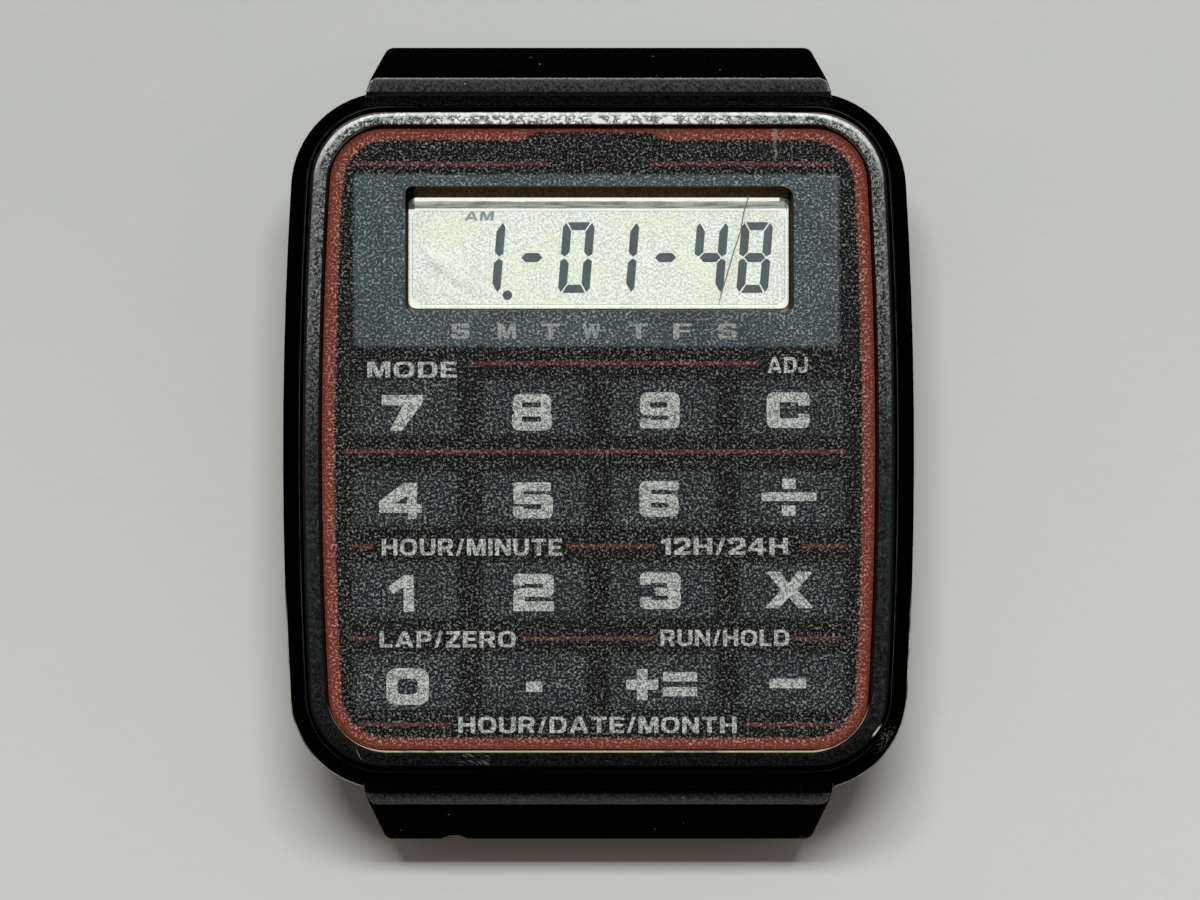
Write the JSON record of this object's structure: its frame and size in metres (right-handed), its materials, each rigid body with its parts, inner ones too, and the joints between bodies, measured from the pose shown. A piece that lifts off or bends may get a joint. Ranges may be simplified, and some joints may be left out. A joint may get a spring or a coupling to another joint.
{
  "type": "calculator watch",
  "caption": "Calculator watch head with a flat keypad, a liquid crystal window and hooded strap lugs.",
  "frame": {"origin": "middle of the case back's outer face, on which the watch head rests", "axes": "+X to the right of the face, +Y towards twelve o'clock, +Z out of the face"},
  "size_m": [0.0348, 0.0444, 0.009],
  "materials": {
    "case_black": "glossy black, worn on its edges",
    "bezel_black": "glossy black with a satin upper band",
    "film": "finely speckled black film with printed borders",
    "key_film": "finely speckled slate film with a pale figure",
    "crystal": "clear, lightly scratched",
    "seal": "pale adhesive",
    "spring_steel": "bright sheet metal",
    "spacer_film": "matt film",
    "board": "glass and resin board",
    "polariser": "grey green film",
    "display_glass": "clear thin glass",
    "reflector": "pale reflecting film",
    "silicone": "soft rubber",
    "module_plastic": "moulded black plastic",
    "epoxy": "cast resin",
    "can_metal": "drawn nickel finish",
    "ceramic": "fired ceramic",
    "brass": "bright sheet metal",
    "copper": "wound wire",
    "screw_steel": "turned steel",
    "back_steel": "brushed steel, bare of marks",
    "gasket": "black rubber"
  },
  "bodies": {
    "watch_head": {"case_body": "case_black", "bezel_ring": "bezel_black", "face_overlay": "film", "window_crystal": "crystal", "window_seal": "seal", "snap_domes": "spring_steel", "dome_spacer": "spacer_film", "keypad_board": "board", "lcd_front_polariser": "polariser", "lcd_front_glass": "display_glass", "lcd_rear_glass": "display_glass", "lcd_reflector": "reflector", "zebra_strip_upper": "silicone", "zebra_strip_lower": "silicone", "zebra_strip_keypad": "silicone", "module_frame": "module_plastic", "main_board": "board", "chip_coating": "epoxy", "quartz_crystal": "can_metal", "trimmer_body": "epoxy", "chip_capacitors": "ceramic", "boost_coil": "copper", "battery_holder": "module_plastic", "battery_can": "can_metal", "battery_grommet": "silicone", "battery_cap": "can_metal", "battery_clamp": "spring_steel", "battery_contact": "brass", "module_screws": "screw_steel", "buzzer_plate": "brass", "buzzer_ceramic": "ceramic", "buzzer_spring": "spring_steel", "case_back": "back_steel", "back_gasket": "gasket", "back_screws": "screw_steel"},
    "key_7": {"key_7": "key_film"},
    "key_8": {"key_8": "key_film"},
    "key_9": {"key_9": "key_film"},
    "key_clear": {"key_clear": "key_film"},
    "key_4": {"key_4": "key_film"},
    "key_5": {"key_5": "key_film"},
    "key_6": {"key_6": "key_film"},
    "key_divide": {"key_divide": "key_film"},
    "key_1": {"key_1": "key_film"},
    "key_2": {"key_2": "key_film"},
    "key_3": {"key_3": "key_film"},
    "key_multiply": {"key_multiply": "key_film"},
    "key_0": {"key_0": "key_film"},
    "key_point": {"key_point": "key_film"},
    "key_plus_equals": {"key_plus_equals": "key_film"},
    "key_minus": {"key_minus": "key_film"},
    "trimmer_rotor": {"trimmer_rotor": "brass"}
  },
  "joints": [
    {"name": "press_7", "type": "slide", "parent": "watch_head", "child": "key_7", "axis": [0, 0, -1], "range_m": [0, 0.00025], "stiffness_N_per_m": 6000, "deforming": ["snap_domes"]},
    {"name": "press_8", "type": "slide", "parent": "watch_head", "child": "key_8", "axis": [0, 0, -1], "range_m": [0, 0.00025], "stiffness_N_per_m": 6000, "deforming": ["snap_domes"]},
    {"name": "press_9", "type": "slide", "parent": "watch_head", "child": "key_9", "axis": [0, 0, -1], "range_m": [0, 0.00025], "stiffness_N_per_m": 6000, "deforming": ["snap_domes"]},
    {"name": "press_clear", "type": "slide", "parent": "watch_head", "child": "key_clear", "axis": [0, 0, -1], "range_m": [0, 0.00025], "stiffness_N_per_m": 6000, "deforming": ["snap_domes"]},
    {"name": "press_4", "type": "slide", "parent": "watch_head", "child": "key_4", "axis": [0, 0, -1], "range_m": [0, 0.00025], "stiffness_N_per_m": 6000, "deforming": ["snap_domes"]},
    {"name": "press_5", "type": "slide", "parent": "watch_head", "child": "key_5", "axis": [0, 0, -1], "range_m": [0, 0.00025], "stiffness_N_per_m": 6000, "deforming": ["snap_domes"]},
    {"name": "press_6", "type": "slide", "parent": "watch_head", "child": "key_6", "axis": [0, 0, -1], "range_m": [0, 0.00025], "stiffness_N_per_m": 6000, "deforming": ["snap_domes"]},
    {"name": "press_divide", "type": "slide", "parent": "watch_head", "child": "key_divide", "axis": [0, 0, -1], "range_m": [0, 0.00025], "stiffness_N_per_m": 6000, "deforming": ["snap_domes"]},
    {"name": "press_1", "type": "slide", "parent": "watch_head", "child": "key_1", "axis": [0, 0, -1], "range_m": [0, 0.00025], "stiffness_N_per_m": 6000, "deforming": ["snap_domes"]},
    {"name": "press_2", "type": "slide", "parent": "watch_head", "child": "key_2", "axis": [0, 0, -1], "range_m": [0, 0.00025], "stiffness_N_per_m": 6000, "deforming": ["snap_domes"]},
    {"name": "press_3", "type": "slide", "parent": "watch_head", "child": "key_3", "axis": [0, 0, -1], "range_m": [0, 0.00025], "stiffness_N_per_m": 6000, "deforming": ["snap_domes"]},
    {"name": "press_multiply", "type": "slide", "parent": "watch_head", "child": "key_multiply", "axis": [0, 0, -1], "range_m": [0, 0.00025], "stiffness_N_per_m": 6000, "deforming": ["snap_domes"]},
    {"name": "press_0", "type": "slide", "parent": "watch_head", "child": "key_0", "axis": [0, 0, -1], "range_m": [0, 0.00025], "stiffness_N_per_m": 6000, "deforming": ["snap_domes"]},
    {"name": "press_point", "type": "slide", "parent": "watch_head", "child": "key_point", "axis": [0, 0, -1], "range_m": [0, 0.00025], "stiffness_N_per_m": 6000, "deforming": ["snap_domes"]},
    {"name": "press_plus_equals", "type": "slide", "parent": "watch_head", "child": "key_plus_equals", "axis": [0, 0, -1], "range_m": [0, 0.00025], "stiffness_N_per_m": 6000, "deforming": ["snap_domes"]},
    {"name": "press_minus", "type": "slide", "parent": "watch_head", "child": "key_minus", "axis": [0, 0, -1], "range_m": [0, 0.00025], "stiffness_N_per_m": 6000, "deforming": ["snap_domes"]},
    {"name": "trimmer_turn", "type": "hinge", "parent": "watch_head", "child": "trimmer_rotor", "pos_m": [-0.01051, 0.00995, 0.0038], "axis": [0, 0, 1], "continuous": true}
  ]
}
